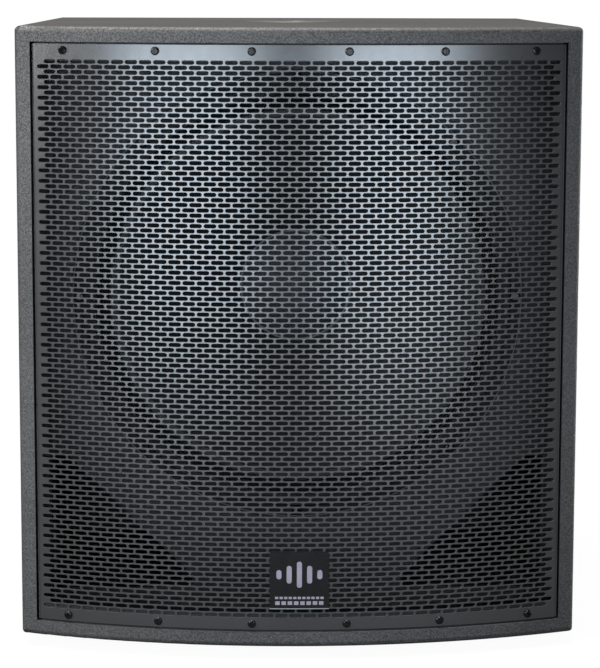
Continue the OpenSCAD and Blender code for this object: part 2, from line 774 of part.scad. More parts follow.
module input_plate() {
    color(steel) difference() {
        translate([0, y_rear + plate_t, plate_zc]) rotate([90, 0, 0])
            linear_extrude(height = plate_t) rrect(plate_w, plate_h, 8);
        for (sx = [-1, 1]) {
            translate([sx * twist_x, y_rear - cut, twist_z]) rotate([-90, 0, 0])
                cylinder(r = twist_cut_r, h = plate_t + 2 * cut);
            translate([sx * twist_x, y_rear - cut, jack_z]) rotate([-90, 0, 0])
                cylinder(r = 4.8, h = plate_t + 2 * cut);
            for (s = [-1, 1])
                translate([sx * twist_x + s * 9.5, y_rear - cut, twist_z + s * 12])
                    rotate([-90, 0, 0]) cylinder(r = 1.6, h = plate_t + 2 * cut);
            for (sz = [-1, 1])
                translate([sx * plate_screw_x, y_rear - cut, plate_zc + sz * plate_screw_z])
                    rotate([-90, 0, 0]) cylinder(r = 2.1, h = plate_t + 2 * cut);
        }
    }
}

// Foam frame pressed into the cut-out's edge behind the plate
module input_gasket() {
    color(rubber) translate([0, y_rear - 0.2, plate_zc]) rotate([90, 0, 0])
        linear_extrude(height = 4) difference() {
            rrect(plate_hole_w - 0.4, plate_hole_h - 0.4, 9.8);
            rrect(plate_hole_w - 8, plate_hole_h - 8, 6);
        }
}

module input_screws() {
    color(steel) for (sx = [-1, 1], sz = [-1, 1])
        translate([sx * plate_screw_x, y_rear + plate_t, plate_zc + sz * plate_screw_z])
            rotate([-90, 0, 0]) pan_screw(3.9, 2.4, 1.7, 14);
}

// Twist-lock socket: square flange, round body with a keyed ring space and a core
module twist_socket(sx) {
    depth = 17;
    color(nylon) translate([sx * twist_x, y_rear + plate_t, twist_z]) rotate([-90, 0, 0])
        difference() {
            union() {
                linear_extrude(height = 3) rrect(26, 31, 3);
                translate([0, 0, -19]) cylinder(r = twist_cut_r - 0.15, h = 19.5);
            }
            difference() {
                translate([0, 0, 3 - depth]) cylinder(r = twist_bore_r, h = depth + cut);
                translate([0, 0, -depth]) cylinder(r = 3.9, h = depth + 1);
            }
            for (a = [90, 210, 330]) rotate([0, 0, a]) translate([0, -1.3, 3 - depth + 3])
                cube([twist_bore_r + 1.2, 2.6, depth]);
            for (s = [-1, 1]) translate([s * 9.5, s * -12, -cut]) {
                cylinder(r = 1.6, h = 3 + 2 * cut);
                translate([0, 0, cut + 1.2]) cylinder(r = 2.9, h = 3);
            }
        }
}
module twist_socket_left() { twist_socket(-1); }
module twist_socket_right() { twist_socket(1); }

module twist_screws() {
    color(zinc) for (sx = [-1, 1], s = [-1, 1])
        translate([sx * twist_x + s * 9.5, y_rear + plate_t + 1.2, twist_z + s * 12])
            rotate([-90, 0, 0]) pan_screw(2.7, 1.6, 1.45, 8);
}

module jack_socket(sx) {
    color(nylon) translate([sx * twist_x, y_rear + plate_t, jack_z]) rotate([-90, 0, 0])
        difference() {
            union() {
                translate([0, 0, -5 - plate_t]) cylinder(r = 4.6, h = 7 + plate_t);
                translate([-8, -9, -27 - plate_t]) cube([16, 18, 27]);
            }
            translate([0, 0, -22 - plate_t]) cylinder(r = jack_bore_r, h = 24 + plate_t + cut);
        }
}
module jack_socket_left() { jack_socket(-1); }
module jack_socket_right() { jack_socket(1); }

module jack_nuts() {
    color(zinc) for (sx = [-1, 1])
        translate([sx * twist_x, y_rear + plate_t, jack_z]) rotate([-90, 0, 0])
            difference() {
                cylinder(r = 6.9, h = 1.6, $fn = 6);
                translate([0, 0, -cut]) cylinder(r = 4.7, h = 4);
            }
}

// ---------------------------------------------------------------- top, sides, underside

module pole_cup() {
    tube_r = pole_bore_r + 3.9;
    z_face = z_pole_face;
    edge = 0.5;
    color(steel) translate([0, y_pole, 0]) difference() {
        rotate_extrude() polygon([
            [0, z_face - pole_bore_len - 3], [tube_r, z_face - pole_bore_len - 3],
            [tube_r, z_pole_seat], [pole_flange_r, z_pole_seat],
            [pole_flange_r, z_face - edge], [pole_flange_r - edge, z_face],
            [pole_bore_r + 1.5, z_face], [pole_bore_r, z_face - 1.5],
            [pole_bore_r, z_face - pole_bore_len], [0, z_face - pole_bore_len]]);
        for (a = [0 : 90 : 270]) rotate([0, 0, a]) translate([pole_screw_r, 0, 0]) {
            translate([0, 0, z_pole_seat - cut]) cylinder(r = 2.4, h = pole_flange_t + 2 * cut);
            translate([0, 0, z_face - pole_head_deep]) cylinder(r = 4.5, h = pole_flange_t);
        }
    }
}
module pole_cup_screws() {
    color(steel) for (a = [0 : 90 : 270]) translate([0, y_pole, z_pole_face - pole_head_deep])
        rotate([0, 0, a]) translate([pole_screw_r, 0, 0]) pan_screw(4.2, 1.5, 2, 12);
}

// Moulded dish on the +X side
module handle_dish() {
    translate([0, handle_y, handle_zc]) rotate([90, 0, 90]) difference() {
        union() {
            translate([0, 0, half_w]) linear_extrude(height = flange_proud)
                rrect(flange_len, flange_high, 22);
            translate([0, 0, half_w - handle_deep - dish_wall])
                linear_extrude(height = handle_deep + dish_wall + 0.5)
                    rrect(dish_len, dish_high, 15);
        }
        translate([0, 0, half_w - handle_deep])
            linear_extrude(height = handle_deep + flange_proud + cut)
                rrect(handle_len, handle_high, 12);
        for (y = handle_screw_y, sz = [-1, 1])
            translate([y, sz * (flange_high / 2 - 6), half_w - cut])
                cylinder(r = 2.1, h = flange_proud + 2 * cut);
    }
}
module handle_dish_right() { color(nylon) handle_dish(); }
module handle_dish_left() { color(nylon) mirror([1, 0, 0]) handle_dish(); }

bar_x = half_w - bar_r - 3;
module handle_bar() {
    translate([bar_x, handle_y - handle_len / 2, handle_zc]) rotate([-90, 0, 0])
        cylinder(r = bar_r, h = handle_len);
}
module handle_bar_right() { color(steel) handle_bar(); }
module handle_bar_left() { color(steel) mirror([1, 0, 0]) handle_bar(); }

module handle_screws() {
    color(steel) for (m = [0, 1], y = handle_screw_y, sz = [-1, 1]) mirror([m, 0, 0])
        translate([half_w + flange_proud, handle_y + y, handle_zc + sz * (flange_high / 2 - 6)])
            rotate([0, 90, 0]) pan_screw(3.6, 1.8, 1.7, 14);
}

module feet() {
    color(rubber) for (sx = [-1, 1], y = foot_y) translate([sx * foot_x, y, 0])
        rotate_extrude() polygon([[8, 0], [foot_r - 4, 0], [foot_r - 2.6, 0.8], [foot_r, foot_h],
            [2.3, foot_h], [2.3, 6], [8, 6]]);
}
module foot_screws() {
    color(zinc) for (sx = [-1, 1], y = foot_y) translate([sx * foot_x, y, 6])
        rotate([180, 0, 0]) pan_screw(5.2, 3.2, 2, 16);
}

// Damping pads, held by glue
module pad(a, b) {
    r = 8;
    s = b - a;
    translate((a + b) / 2) rotate([90, 0, 0]) translate([0, 0, -s[1] / 2])
        linear_extrude(height = s[1]) rrect(s[0], s[2], r);
}
module lining_back() {
    color(wool) pad([-200, y_back_in - 32, plate_zc + plate_h / 2 + 20],
        [200, y_back_in - 0.5, z_ceil - 30]);
}
module lining_side() {
    pad([in_w - 24, brace_y + brace_t + 6, z_floor + 30],
        [in_w - 0.5, y_back_in - block - 4, z_ceil - 30]);
}
module lining_right() { color(wool) lining_side(); }
module lining_left() { color(wool) mirror([1, 0, 0]) lining_side(); }
module lining_top() {
    color(wool) pad([-215, y_pole + 40, z_ceil - 26], [215, brace_y - 6, z_ceil - 0.5]);
}

// ---------------------------------------------------------------- drawing

top_panel();
bottom_panel();
side_panel_left();
side_panel_right();
back_panel();
baffle();
duct_board_left();
duct_board_right();
window_brace();
glue_blocks();
grille_strip_top();
grille_strip_bottom();
grille();
grille_screws();
badge();
badge_emblem();
badge_clips();
basket();
front_gasket();
driver_screws();
tee_nuts();
cone();
dust_cap();
coil_former();
voice_coil();
surround();
spider();
motor_top_plate();
motor_magnet();
motor_back_plate();
motor_bolts();
terminal_strip();
terminal_tabs();
tinsel_leads();
wire_red();
wire_black();
wire_clips();
input_plate();
input_gasket();
input_screws();
twist_socket_left();
twist_socket_right();
twist_screws();
jack_socket_left();
jack_socket_right();
jack_nuts();
pole_cup();
pole_cup_screws();
handle_dish_left();
handle_dish_right();
handle_bar_left();
handle_bar_right();
handle_screws();
feet();
foot_screws();
lining_back();
lining_left();
lining_right();
lining_top();
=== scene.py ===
"""Looks of a subwoofer cabinet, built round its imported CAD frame. Metres, +Z up, front towards -Y."""
import json
import math
from math import cos, pi, sin, sqrt

import bpy
from mathutils import Matrix, Vector, noise


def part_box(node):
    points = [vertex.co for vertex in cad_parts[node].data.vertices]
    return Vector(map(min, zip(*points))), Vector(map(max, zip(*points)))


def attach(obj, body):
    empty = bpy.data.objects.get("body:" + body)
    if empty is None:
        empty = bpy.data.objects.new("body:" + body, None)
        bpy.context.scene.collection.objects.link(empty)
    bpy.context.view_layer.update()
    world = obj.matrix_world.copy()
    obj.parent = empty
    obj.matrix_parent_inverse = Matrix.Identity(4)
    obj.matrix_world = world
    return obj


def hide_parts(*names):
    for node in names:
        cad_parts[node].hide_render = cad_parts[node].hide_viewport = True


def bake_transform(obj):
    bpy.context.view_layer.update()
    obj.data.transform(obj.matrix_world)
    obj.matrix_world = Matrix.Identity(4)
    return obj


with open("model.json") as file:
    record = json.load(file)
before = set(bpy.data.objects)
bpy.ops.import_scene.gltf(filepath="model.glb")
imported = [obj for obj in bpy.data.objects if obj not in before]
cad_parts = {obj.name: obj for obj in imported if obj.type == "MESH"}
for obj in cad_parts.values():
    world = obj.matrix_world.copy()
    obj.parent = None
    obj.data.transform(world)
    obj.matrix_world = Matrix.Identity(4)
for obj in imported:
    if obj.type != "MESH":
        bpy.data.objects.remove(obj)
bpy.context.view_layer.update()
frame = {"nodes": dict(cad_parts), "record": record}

# ---------------------------------------------------------------- driving sizes, from the frame

BOW = 0.056
DEPTH = 0.620  # with the bow
HALF_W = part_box("top_panel")[1].x
Z_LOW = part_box("bottom_panel")[0].z
Y_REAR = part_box("back_panel")[1].y
Y_FRONT = Y_REAR - DEPTH
Y_CORNER = Y_FRONT + BOW
FRONT_R = (HALF_W ** 2 + BOW ** 2) / (2 * BOW)
Y_ARC = Y_FRONT + FRONT_R
Y_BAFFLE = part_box("baffle")[0].y
GRILLE_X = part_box("grille")[1].x
Z_DRIVER = (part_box("cone")[0].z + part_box("cone")[1].z) / 2


# ---------------------------------------------------------------- materials

class Shader:
    """One procedural material: a Principled shader and the nodes that feed it."""

    def __init__(self, name, rough=0.5, metal=0.0, color=(0.5, 0.5, 0.5), **sockets):
        self.mat = bpy.data.materials.new(name)
        self.mat.use_nodes = True
        self.tree = self.mat.node_tree
        self.bsdf = next(n for n in self.tree.nodes if n.type == "BSDF_PRINCIPLED")
        self.bsdf.inputs["Base Color"].default_value = (*color, 1)
        self.bsdf.inputs["Roughness"].default_value = rough
        self.bsdf.inputs["Metallic"].default_value = metal
        for socket, value in sockets.items():
            self.bsdf.inputs[socket.replace("_", " ")].default_value = value
        self.place = self.node("ShaderNodeTexCoord").outputs["Object"]
        self.height = None

    def node(self, kind, **settings):
        made = self.tree.nodes.new(kind)
        for key, value in settings.items():
            setattr(made, key, value)
        return made

    def feed(self, socket, source):
        """Sets a node's socket from a number, a colour or another node's output."""
        if isinstance(source, bpy.types.NodeSocket):
            self.tree.links.new(source, socket)
        elif isinstance(source, tuple) and len(source) == 3 and socket.type == "RGBA":
            socket.default_value = (*source, 1)
        else:
            socket.default_value = source

    def stretch(self, scale):
        """Object coordinates scaled along each axis."""
        made = self.node("ShaderNodeMapping")
        self.feed(made.inputs["Vector"], self.place)
        made.inputs["Scale"].default_value = scale
        return made.outputs["Vector"]

    def noise(self, scale, detail=3.0, rough=0.55, at=None, warp=0.0):
        made = self.node("ShaderNodeTexNoise")
        self.feed(made.inputs["Vector"], at or self.place)
        made.inputs["Scale"].default_value = scale
        made.inputs["Detail"].default_value = detail
        made.inputs["Roughness"].default_value = rough
        made.inputs["Distortion"].default_value = warp
        return made.outputs["Fac"]

    def cells(self, scale):
        made = self.node("ShaderNodeTexVoronoi", feature="F1")
        self.feed(made.inputs["Vector"], self.place)
        made.inputs["Scale"].default_value = scale
        return made.outputs["Distance"]

    def axis(self, name):
        """X, Y or Z of the place on the object."""
        made = self.node("ShaderNodeSeparateXYZ")
        self.feed(made.inputs["Vector"], self.place)
        return made.outputs[name]

    def facing(self, name):
        """X, Y or Z of the surface's own direction."""
        made = self.node("ShaderNodeSeparateXYZ")
        self.feed(made.inputs["Vector"], self.node("ShaderNodeNewGeometry").outputs["Normal"])
        return made.outputs[name]

    def math(self, operation, a, b=0.0):
        made = self.node("ShaderNodeMath", operation=operation)
        self.feed(made.inputs[0], a)
        self.feed(made.inputs[1], b)
        return made.outputs["Value"]

    def window(self, value, low, high, to_low=0.0, to_high=1.0):
        """Value mapped from one range to another, smoothly and clamped."""
        made = self.node("ShaderNodeMapRange", interpolation_type="SMOOTHSTEP")
        self.feed(made.inputs["Value"], value)
        for socket, number in zip(made.inputs[1:5], (low, high, to_low, to_high)):
            socket.default_value = number
        return made.outputs["Result"]

    def radius(self, centre):
        """Distance from an axis along Y through centre."""
        x = self.math("SUBTRACT", self.axis("X"), centre[0])
        z = self.math("SUBTRACT", self.axis("Z"), centre[2])
        return self.math("SQRT", self.math("ADD", self.math("MULTIPLY", x, x),
                                           self.math("MULTIPLY", z, z)))

    def mix(self, factor, a, b):
        made = self.node("ShaderNodeMix", data_type="RGBA")
        self.feed(made.inputs["Factor"], factor)
        self.feed(made.inputs[6], a)
        self.feed(made.inputs[7], b)
        return made.outputs[2]

    def clouded(self, tint):
        """A coat's tint, lighter in soft patches."""
        cloud = self.window(self.noise(14, detail=4.0), 0.3, 0.7)
        return self.mix(cloud, tint, tuple(c * 1.35 for c in tint))

    def color(self, source):
        self.feed(self.bsdf.inputs["Base Color"], source)

    def rough(self, source):
        self.feed(self.bsdf.inputs["Roughness"], source)

    def bump(self, height, distance):
        """Adds a relief of a depth in metres on top of what is there."""
        made = self.node("ShaderNodeBump")
        made.inputs["Strength"].default_value = 1.0
        made.inputs["Distance"].default_value = distance
        self.feed(made.inputs["Height"], height)
        if self.height is not None:
            self.feed(made.inputs["Normal"], self.height)
        self.height = made.outputs["Normal"]
        self.feed(self.bsdf.inputs["Normal"], self.height)


def textured_paint(name, dark, light, grain=620, depth=0.0003, rough=0.6, specular=0.5):
    """Sprayed pebble-grained paint."""
    s = Shader(name, rough=rough, Specular_IOR_Level=specular)
    grains = s.noise(grain, detail=2.0, rough=0.6)
    fine = s.noise(grain * 2.6, detail=1.0)
    cloud = s.noise(7, detail=3.0)
    tone = s.math("ADD", s.window(grains, 0.32, 0.70, 0.0, 0.8),
                  s.window(cloud, 0.35, 0.65, -0.04, 0.09))
    s.color(s.mix(tone, dark, light))
    s.rough(s.window(grains, 0.3, 0.7, rough + 0.12, rough - 0.1))
    s.bump(s.math("ADD", grains, s.math("MULTIPLY", fine, 0.35)), depth)
    return s.mat


def powder_coat(name, tint, rough, peel=0.00003, fleck=0.0, specular=0.5, uneven=0.06):
    """Smooth baked powder coat with a little orange peel and faint rubs."""
    s = Shader(name, rough=rough, color=tint, Specular_IOR_Level=specular)
    s.color(s.clouded(tint))
    s.rough(s.window(s.noise(40, detail=5.0, rough=0.7), 0.3, 0.75, rough - uneven, rough + uneven))
    s.bump(s.noise(900, detail=1.0), peel)
    if fleck:
        s.bump(s.noise(1700, detail=1.0), fleck)
    return s.mat


def grille_coat(name, tint, rough=0.285):
    """Semi-gloss coat with a pale stripe painted along the upright folds as a painted highlight, and
    dull on the slots' cut edges.
    """
    s = Shader(name, rough=rough, Specular_IOR_Level=1.0)
    # painted highlight: the coat is painted pale along the upright folds
    painted_fold_highlight = s.window(s.math("ABSOLUTE", s.axis("X")), GRILLE_X - 0.0012, GRILLE_X - 0.0005)
    s.color(s.mix(painted_fold_highlight, s.clouded(tint), (0.085, 0.083, 0.085)))
    cut_edge = s.window(s.facing("Z"), 0.12, 0.45, 0.0, 0.68)
    uneven = s.window(s.noise(40, detail=5.0, rough=0.7), 0.3, 0.75, rough - 0.012, rough + 0.012)
    s.rough(s.math("ADD", uneven, cut_edge))
    s.bump(s.noise(900, detail=1.0), 0.00002)
    return s.mat


def basket_coat(name, tint, rim_r):
    """Cast basket's coat, with a pale line painted round the rim's outer edge as a painted highlight.
    """
    s = Shader(name, rough=0.6, Specular_IOR_Level=0.1)
    # painted highlight: a pale line round the rim's outer edge
    from_edge = s.math("ABSOLUTE", s.math("SUBTRACT", s.radius(CENTRE), rim_r))
    painted_rim_highlight = s.window(from_edge, 0.0012, 0.0006)
    s.color(s.mix(painted_rim_highlight, s.clouded(tint), (0.075, 0.079, 0.09)))
    s.rough(s.window(s.noise(40, detail=5.0, rough=0.7), 0.3, 0.75, 0.54, 0.66))
    s.bump(s.noise(900, detail=1.0), 0.00006)
    return s.mat


def bare_metal(name, tint, rough, brushed=None, metal=1.0):
    """Plated or machined metal; brushed is the scale of its lay along each axis."""
    s = Shader(name, rough=rough, metal=metal, color=tint)
    lay = s.noise(1.0, detail=3.0, at=s.stretch(brushed or (700, 700, 700)))
    spots = s.noise(60, detail=4.0, rough=0.65)
    s.color(s.mix(s.window(spots, 0.35, 0.75), tint, tuple(c * 0.7 for c in tint)))
    s.rough(s.window(lay, 0.25, 0.75, rough - 0.08, rough + 0.14))
    s.bump(lay, 0.00002)
    return s.mat


def moulded(name, tint, rough, grain=1100, depth=0.00006, specular=0.5):
    """Moulded nylon or rubber with a spark-eroded grain."""
    s = Shader(name, rough=rough, color=tint, Specular_IOR_Level=specular)
    leather = s.cells(grain)
    s.color(s.mix(s.noise(30, detail=3.0), tint, tuple(c * 1.5 for c in tint)))
    s.rough(s.window(leather, 0.1, 0.7, rough + 0.1, rough - 0.06))
    s.bump(leather, depth)
    return s.mat


def plywood(name):
    """Stained plywood with a figured face, near black low down where the vents let one see it: partly
    black spray paint, partly painted shade inside the vents.
    """
    s = Shader(name, rough=0.62)
    figure = s.noise(1.0, detail=6.0, rough=0.62, warp=1.6, at=s.stretch((9, 60, 9)))
    pores = s.noise(1.0, detail=2.0, at=s.stretch((260, 2600, 260)))
    base = s.mix(s.window(figure, 0.3, 0.7), (0.30, 0.205, 0.115), (0.20, 0.13, 0.068))
    wood = s.mix(s.window(pores, 0.58, 0.74, 0.0, 0.5), base, (0.10, 0.06, 0.03))
    # partly painted shade: below this height the wood is near black, standing for black spray and for
    # the shade inside the vents
    black_spray_and_painted_shade = s.window(s.axis("Z"), 0.30, 0.24)
    s.color(s.mix(black_spray_and_painted_shade, wood, (0.003, 0.003, 0.003)))
    s.bump(pores, 0.00008)
    return s.mat


def cone_pulp(name, dark, light, cap_light, cap_r):
    """Pressed paper pulp with long fibres; the dust cap is greyer, inside a glossy ring of adhesive
    painted paler than the cone as a painted highlight.
    """
    s = Shader(name, rough=0.7, Specular_IOR_Level=0.2)
    pulp = s.noise(420, detail=5.0, rough=0.7, warp=0.6)
    fibre = s.noise(1.0, detail=3.0, warp=2.0, at=s.stretch((1500, 90, 320)))
    r = s.radius(CENTRE)
    base = s.mix(s.window(pulp, 0.3, 0.72), dark, light)
    base = s.mix(s.window(r, cap_r - 0.001, cap_r - 0.002), base,
                 s.mix(s.window(pulp, 0.3, 0.72), light, cap_light))
    # painted highlight: the glossy ring of adhesive round the dust cap is painted pale
    from_line = s.math("ABSOLUTE", s.math("SUBTRACT", r, cap_r))
    glue_ring_and_painted_highlight = s.window(from_line, 0.0015, 0.0009)
    s.color(s.mix(glue_ring_and_painted_highlight, base, (0.05, 0.055, 0.065)))
    s.rough(s.math("SUBTRACT", s.window(pulp, 0.3, 0.7, 0.78, 0.58), s.math("MULTIPLY", glue_ring_and_painted_highlight, 0.35)))
    s.bump(s.math("ADD", pulp, s.math("MULTIPLY", fibre, 0.6)), 0.00018)
    return s.mat


def woven(name, dark, light, rough, thread=0.0007, depth=0.0001, specular=0.5):
    """Plain weave, laid across the object's own axes."""
    s = Shader(name, rough=rough, Specular_IOR_Level=specular)
    k = 2 * pi / thread
    warp = s.math("SINE", s.math("MULTIPLY", s.axis("X"), k))
    weft = s.math("SINE", s.math("MULTIPLY", s.axis("Z"), k))
    over = s.math("MULTIPLY", warp, weft)
    s.color(s.mix(s.window(over, -1.0, 1.0), dark, light))
    s.bump(over, depth)
    s.bump(s.noise(300, detail=3.0), depth)
    return s.mat


def felt(name, dark, light):
    """Matted damping wool."""
    s = Shader(name, rough=0.95)
    s.bsdf.inputs["Sheen Weight"].default_value = 0.3
    tufts = s.noise(160, detail=6.0, rough=0.75, warp=1.2)
    hair = s.noise(1400, detail=2.0, warp=2.0)
    s.color(s.mix(s.window(tufts, 0.3, 0.7), dark, light))
    s.bump(s.math("ADD", tufts, s.math("MULTIPLY", hair, 0.4)), 0.0009)
    return s.mat


def badge_plate(name, z_edge):
    """Black face on an aluminium plate whose lower edge is left unpainted, its pale colour partly the
    metal and partly a painted highlight.
    """
    s = Shader(name, rough=0.3, Specular_IOR_Level=0.2)
    # partly painted highlight: the unpainted lower edge is coloured pale, so that it reads as a bright
    # line
    bare_edge_and_painted_highlight = s.window(s.axis("Z"), z_edge + 0.0014, z_edge + 0.0009)
    face = s.mix(s.noise(500, detail=2.0), (0.0025, 0.0025, 0.003), (0.005, 0.005, 0.0055))
    s.color(s.mix(bare_edge_and_painted_highlight, face, (0.24, 0.26, 0.24)))
    s.rough(s.window(s.noise(60, detail=4.0), 0.3, 0.7, 0.26, 0.33))
    s.bump(s.noise(1500, detail=1.0), 0.00001)
    return s.mat


def wound_copper(name):
    """Enamelled wire wound turn by turn along the driver's axis."""
    s = Shader(name, rough=0.3, metal=1.0)
    turns = s.math("SINE", s.math("MULTIPLY", s.axis("Y"), 2 * pi / 0.0005))
    s.color(s.mix(s.window(turns, -1.0, 1.0), (0.35, 0.12, 0.05), (0.80, 0.40, 0.20)))
    s.bump(turns, 0.0001)
    return s.mat


def braided(name):
    """Fine copper braid."""
    s = Shader(name, rough=0.38, metal=1.0)
    a = s.math("SINE", s.math("MULTIPLY", s.math("ADD", s.axis("Z"), s.axis("X")), 9000.0))
    b = s.math("SINE", s.math("MULTIPLY", s.math("SUBTRACT", s.axis("Z"), s.axis("X")), 9000.0))
    over = s.math("MULTIPLY", a, b)
    s.color(s.mix(s.window(over, -1.0, 1.0), (0.40, 0.18, 0.08), (0.85, 0.50, 0.30)))
    s.bump(over, 0.0001)
    return s.mat


def glass_fibre(name):
    """Amber former with a woven look inside a glossy resin."""
    s = Shader(name, rough=0.25)
    s.bsdf.inputs["Coat Weight"].default_value = 0.5
    weave = s.math("MULTIPLY", s.math("SINE", s.math("MULTIPLY", s.axis("X"), 7000.0)),
                   s.math("SINE", s.math("MULTIPLY", s.axis("Y"), 7000.0)))
    s.color(s.mix(s.window(weave, -1.0, 1.0), (0.50, 0.30, 0.09), (0.70, 0.48, 0.18)))
    s.bump(weave, 0.00003)
    return s.mat


CENTRE = Vector((0.0, Y_BAFFLE, Z_DRIVER))
CAP_R, CAP_DEPTH = 0.0573, 0.0893
RIM_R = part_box("basket")[1].x - 0.0004
GRAIN_DARK, GRAIN_LIGHT = (0.0035, 0.0035, 0.004), (0.043, 0.042, 0.0415)
MATERIALS = {
    "cabinet_paint": textured_paint("cabinet_paint_look", GRAIN_DARK, GRAIN_LIGHT),
    "baffle_paint": textured_paint("baffle_paint_look", (0.002, 0.002, 0.0025),
                                   (0.011, 0.0115, 0.0135), depth=0.0004, rough=0.5,
                                   specular=0.22),
    "bare_ply": plywood("bare_ply_look"),
    "grille_steel": grille_coat("grille_steel_look", (0.0038, 0.0040, 0.0044)),
    "black_screws": powder_coat("black_screws_look", (0.003, 0.003, 0.0033), rough=0.15,
                                peel=0.00001, specular=0.16, uneven=0.02),
    "badge_black": badge_plate("badge_look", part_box("badge")[0].z),
    "badge_silver": bare_metal("badge_silver_look", (0.15, 0.14, 0.175), rough=0.5,
                               brushed=(2500, 200, 200), metal=0.0),
    "zinc_steel": bare_metal("zinc_steel_look", (0.62, 0.63, 0.64), rough=0.3),
    "motor_steel": bare_metal("motor_steel_look", (0.50, 0.51, 0.52), rough=0.36,
                              brushed=(1800, 150, 1800)),
    "basket_aluminium": basket_coat("basket_look", (0.0035, 0.0037, 0.0043), RIM_R),
    "gasket_rubber": moulded("gasket_look", (0.0035, 0.0035, 0.004), rough=0.8, grain=700,
                             depth=0.0002, specular=0.2),
    "cone_paper": cone_pulp("cone_look", (0.002, 0.0022, 0.0027), (0.006, 0.0065, 0.008),
                            (0.020, 0.021, 0.026), CAP_R),
    "former_film": glass_fibre("former_look"),
    "coil_copper": wound_copper("coil_look"),
    "surround_cloth": woven("surround_look", (0.0018, 0.0018, 0.002), (0.006, 0.0063, 0.0078),
                            thread=0.0006, rough=0.45, depth=0.00005, specular=0.3),
    "spider_cloth": woven("spider_look", (0.30, 0.19, 0.08), (0.52, 0.36, 0.18), rough=0.7),
    "ferrite": moulded("ferrite_look", (0.035, 0.034, 0.034), rough=0.55, grain=900,
                       depth=0.0001),
    "phenolic": woven("phenolic_look", (0.13, 0.05, 0.02), (0.20, 0.09, 0.04), rough=0.45,
                      depth=0.00002),
    "braid": braided("braid_look"),
    "wire_red_pvc": moulded("wire_red_look", (0.36, 0.02, 0.016), rough=0.4, grain=500,
                            depth=0.00002),
    "wire_black_pvc": moulded("wire_black_look", (0.012, 0.012, 0.013), rough=0.4, grain=500,
                              depth=0.00002),
    "black_nylon": moulded("black_nylon_look", (0.018, 0.018, 0.020), rough=0.5),
    "nut_nickel": bare_metal("nut_nickel_look", (0.72, 0.71, 0.68), rough=0.2),
    "plate_paint": powder_coat("plate_paint_look", (0.016, 0.016, 0.017), rough=0.5,
                               peel=0.00008, fleck=0.00006),
    "foot_rubber": moulded("foot_rubber_look", (0.014, 0.014, 0.014), rough=0.75, grain=800,
                           depth=0.0001),
    "lining_wool": felt("lining_look", (0.50, 0.47, 0.40), (0.74, 0.72, 0.66)),
}

# the flange let into the top panel is painted paler than the paint round it, partly its own finish and
# partly a painted highlight
POLE_CUP_LOOK = powder_coat("pole_cup_look", (0.040, 0.038, 0.034), rough=0.55, specular=0.4)

for part in frame["record"]["subparts"]:
    for material_slot in frame["nodes"][part["node"]].material_slots:
        material_slot.material = MATERIALS[part["material_slot"]]
for material_slot in frame["nodes"]["pole_cup"].material_slots:
    material_slot.material = POLE_CUP_LOOK


# ---------------------------------------------------------------- mesh helpers

def solid(name, verts, faces, slot, body=None, sharp_deg=40.0, node=None):
    """Object from plain lists, shaded smooth up to an angle, riding on a body."""
    mesh = bpy.data.meshes.new(name)
    mesh.from_pydata(verts, [], faces)
    mesh.update()
    mesh.shade_smooth()
    mesh.set_sharp_from_angle(angle=math.radians(sharp_deg))
    obj = bpy.data.objects.new(name, mesh)
    bpy.context.scene.collection.objects.link(obj)
    mesh.materials.append(MATERIALS[slot])
    if body:
        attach(obj, body)
    if node:
        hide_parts(node)
    return obj


def on_driver(r, angle, depth):
    """Point at a radius, an angle from +X and a depth behind the baffle's front face."""
    return (r * cos(angle), Y_BAFFLE + depth, Z_DRIVER + r * sin(angle))


def turned_sector(name, upper, lower, a_from, a_to, steps, slot):
    """Closed piece of a turned sheet: its two profiles of (radius, depth) between two angles."""
    n = len(upper)
    whole = abs(abs(a_to - a_from) - 2 * pi) < 1e-9
    rings = steps if whole else steps + 1
    verts = []
    for k in range(rings):
        angle = a_from + (a_to - a_from) * k / steps
        verts += [on_driver(r, angle, d) for r, d in upper]
        verts += [on_driver(r, angle, d) for r, d in lower]
    faces = []
    for k in range(steps):
        a, b = k * 2 * n, (k + 1) % rings * 2 * n
        for i in range(n - 1):
            faces.append((a + i, b + i, b + i + 1, a + i + 1))
            faces.append((a + n + i, a + n + i + 1, b + n + i + 1, b + n + i))
        faces.append((a, a + n, b + n, b))
        faces.append((a + n - 1, b + n - 1, b + 2 * n - 1, a + 2 * n - 1))
    if not whole:
        for i in range(n - 1):
            faces.append((i, i + 1, n + i + 1, n + i))
            e = steps * 2 * n
            faces.append((e + i, e + n + i, e + n + i + 1, e + i + 1))
    return solid(name, verts, faces, slot)


# ---------------------------------------------------------------- perforated grille

GRILLE_R = FRONT_R - 0.003
SHEET_T = 0.0015
SLOT_LEN, SLOT_HIGH = 0.0122, 0.0039
SLOT_PITCH = 0.0139
SLOTS_IN_ROW = 37
ROWS = 108
TOP_ROW_Z, LOW_ROW_Z = 0.5822, 0.0431
ROW_PITCH = (TOP_ROW_Z - LOW_ROW_Z) / (ROWS - 1)
PUNCH_ROLL = 0.00012
END_STEPS = 5
GRILLE_TOP, GRILLE_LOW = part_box("grille")[1].z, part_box("grille")[0].z
FOLD_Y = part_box("grille")[1].y
BEND_OUT, BEND_IN = 0.0022, 0.0007
BEND_STEPS = 4


def on_sheet(s, depth):
    """Plan position at an arc length from the middle and a depth behind the grille's face."""
    a = s / GRILLE_R
    r = GRILLE_R - depth
    return (r * sin(a), Y_ARC - r * cos(a))


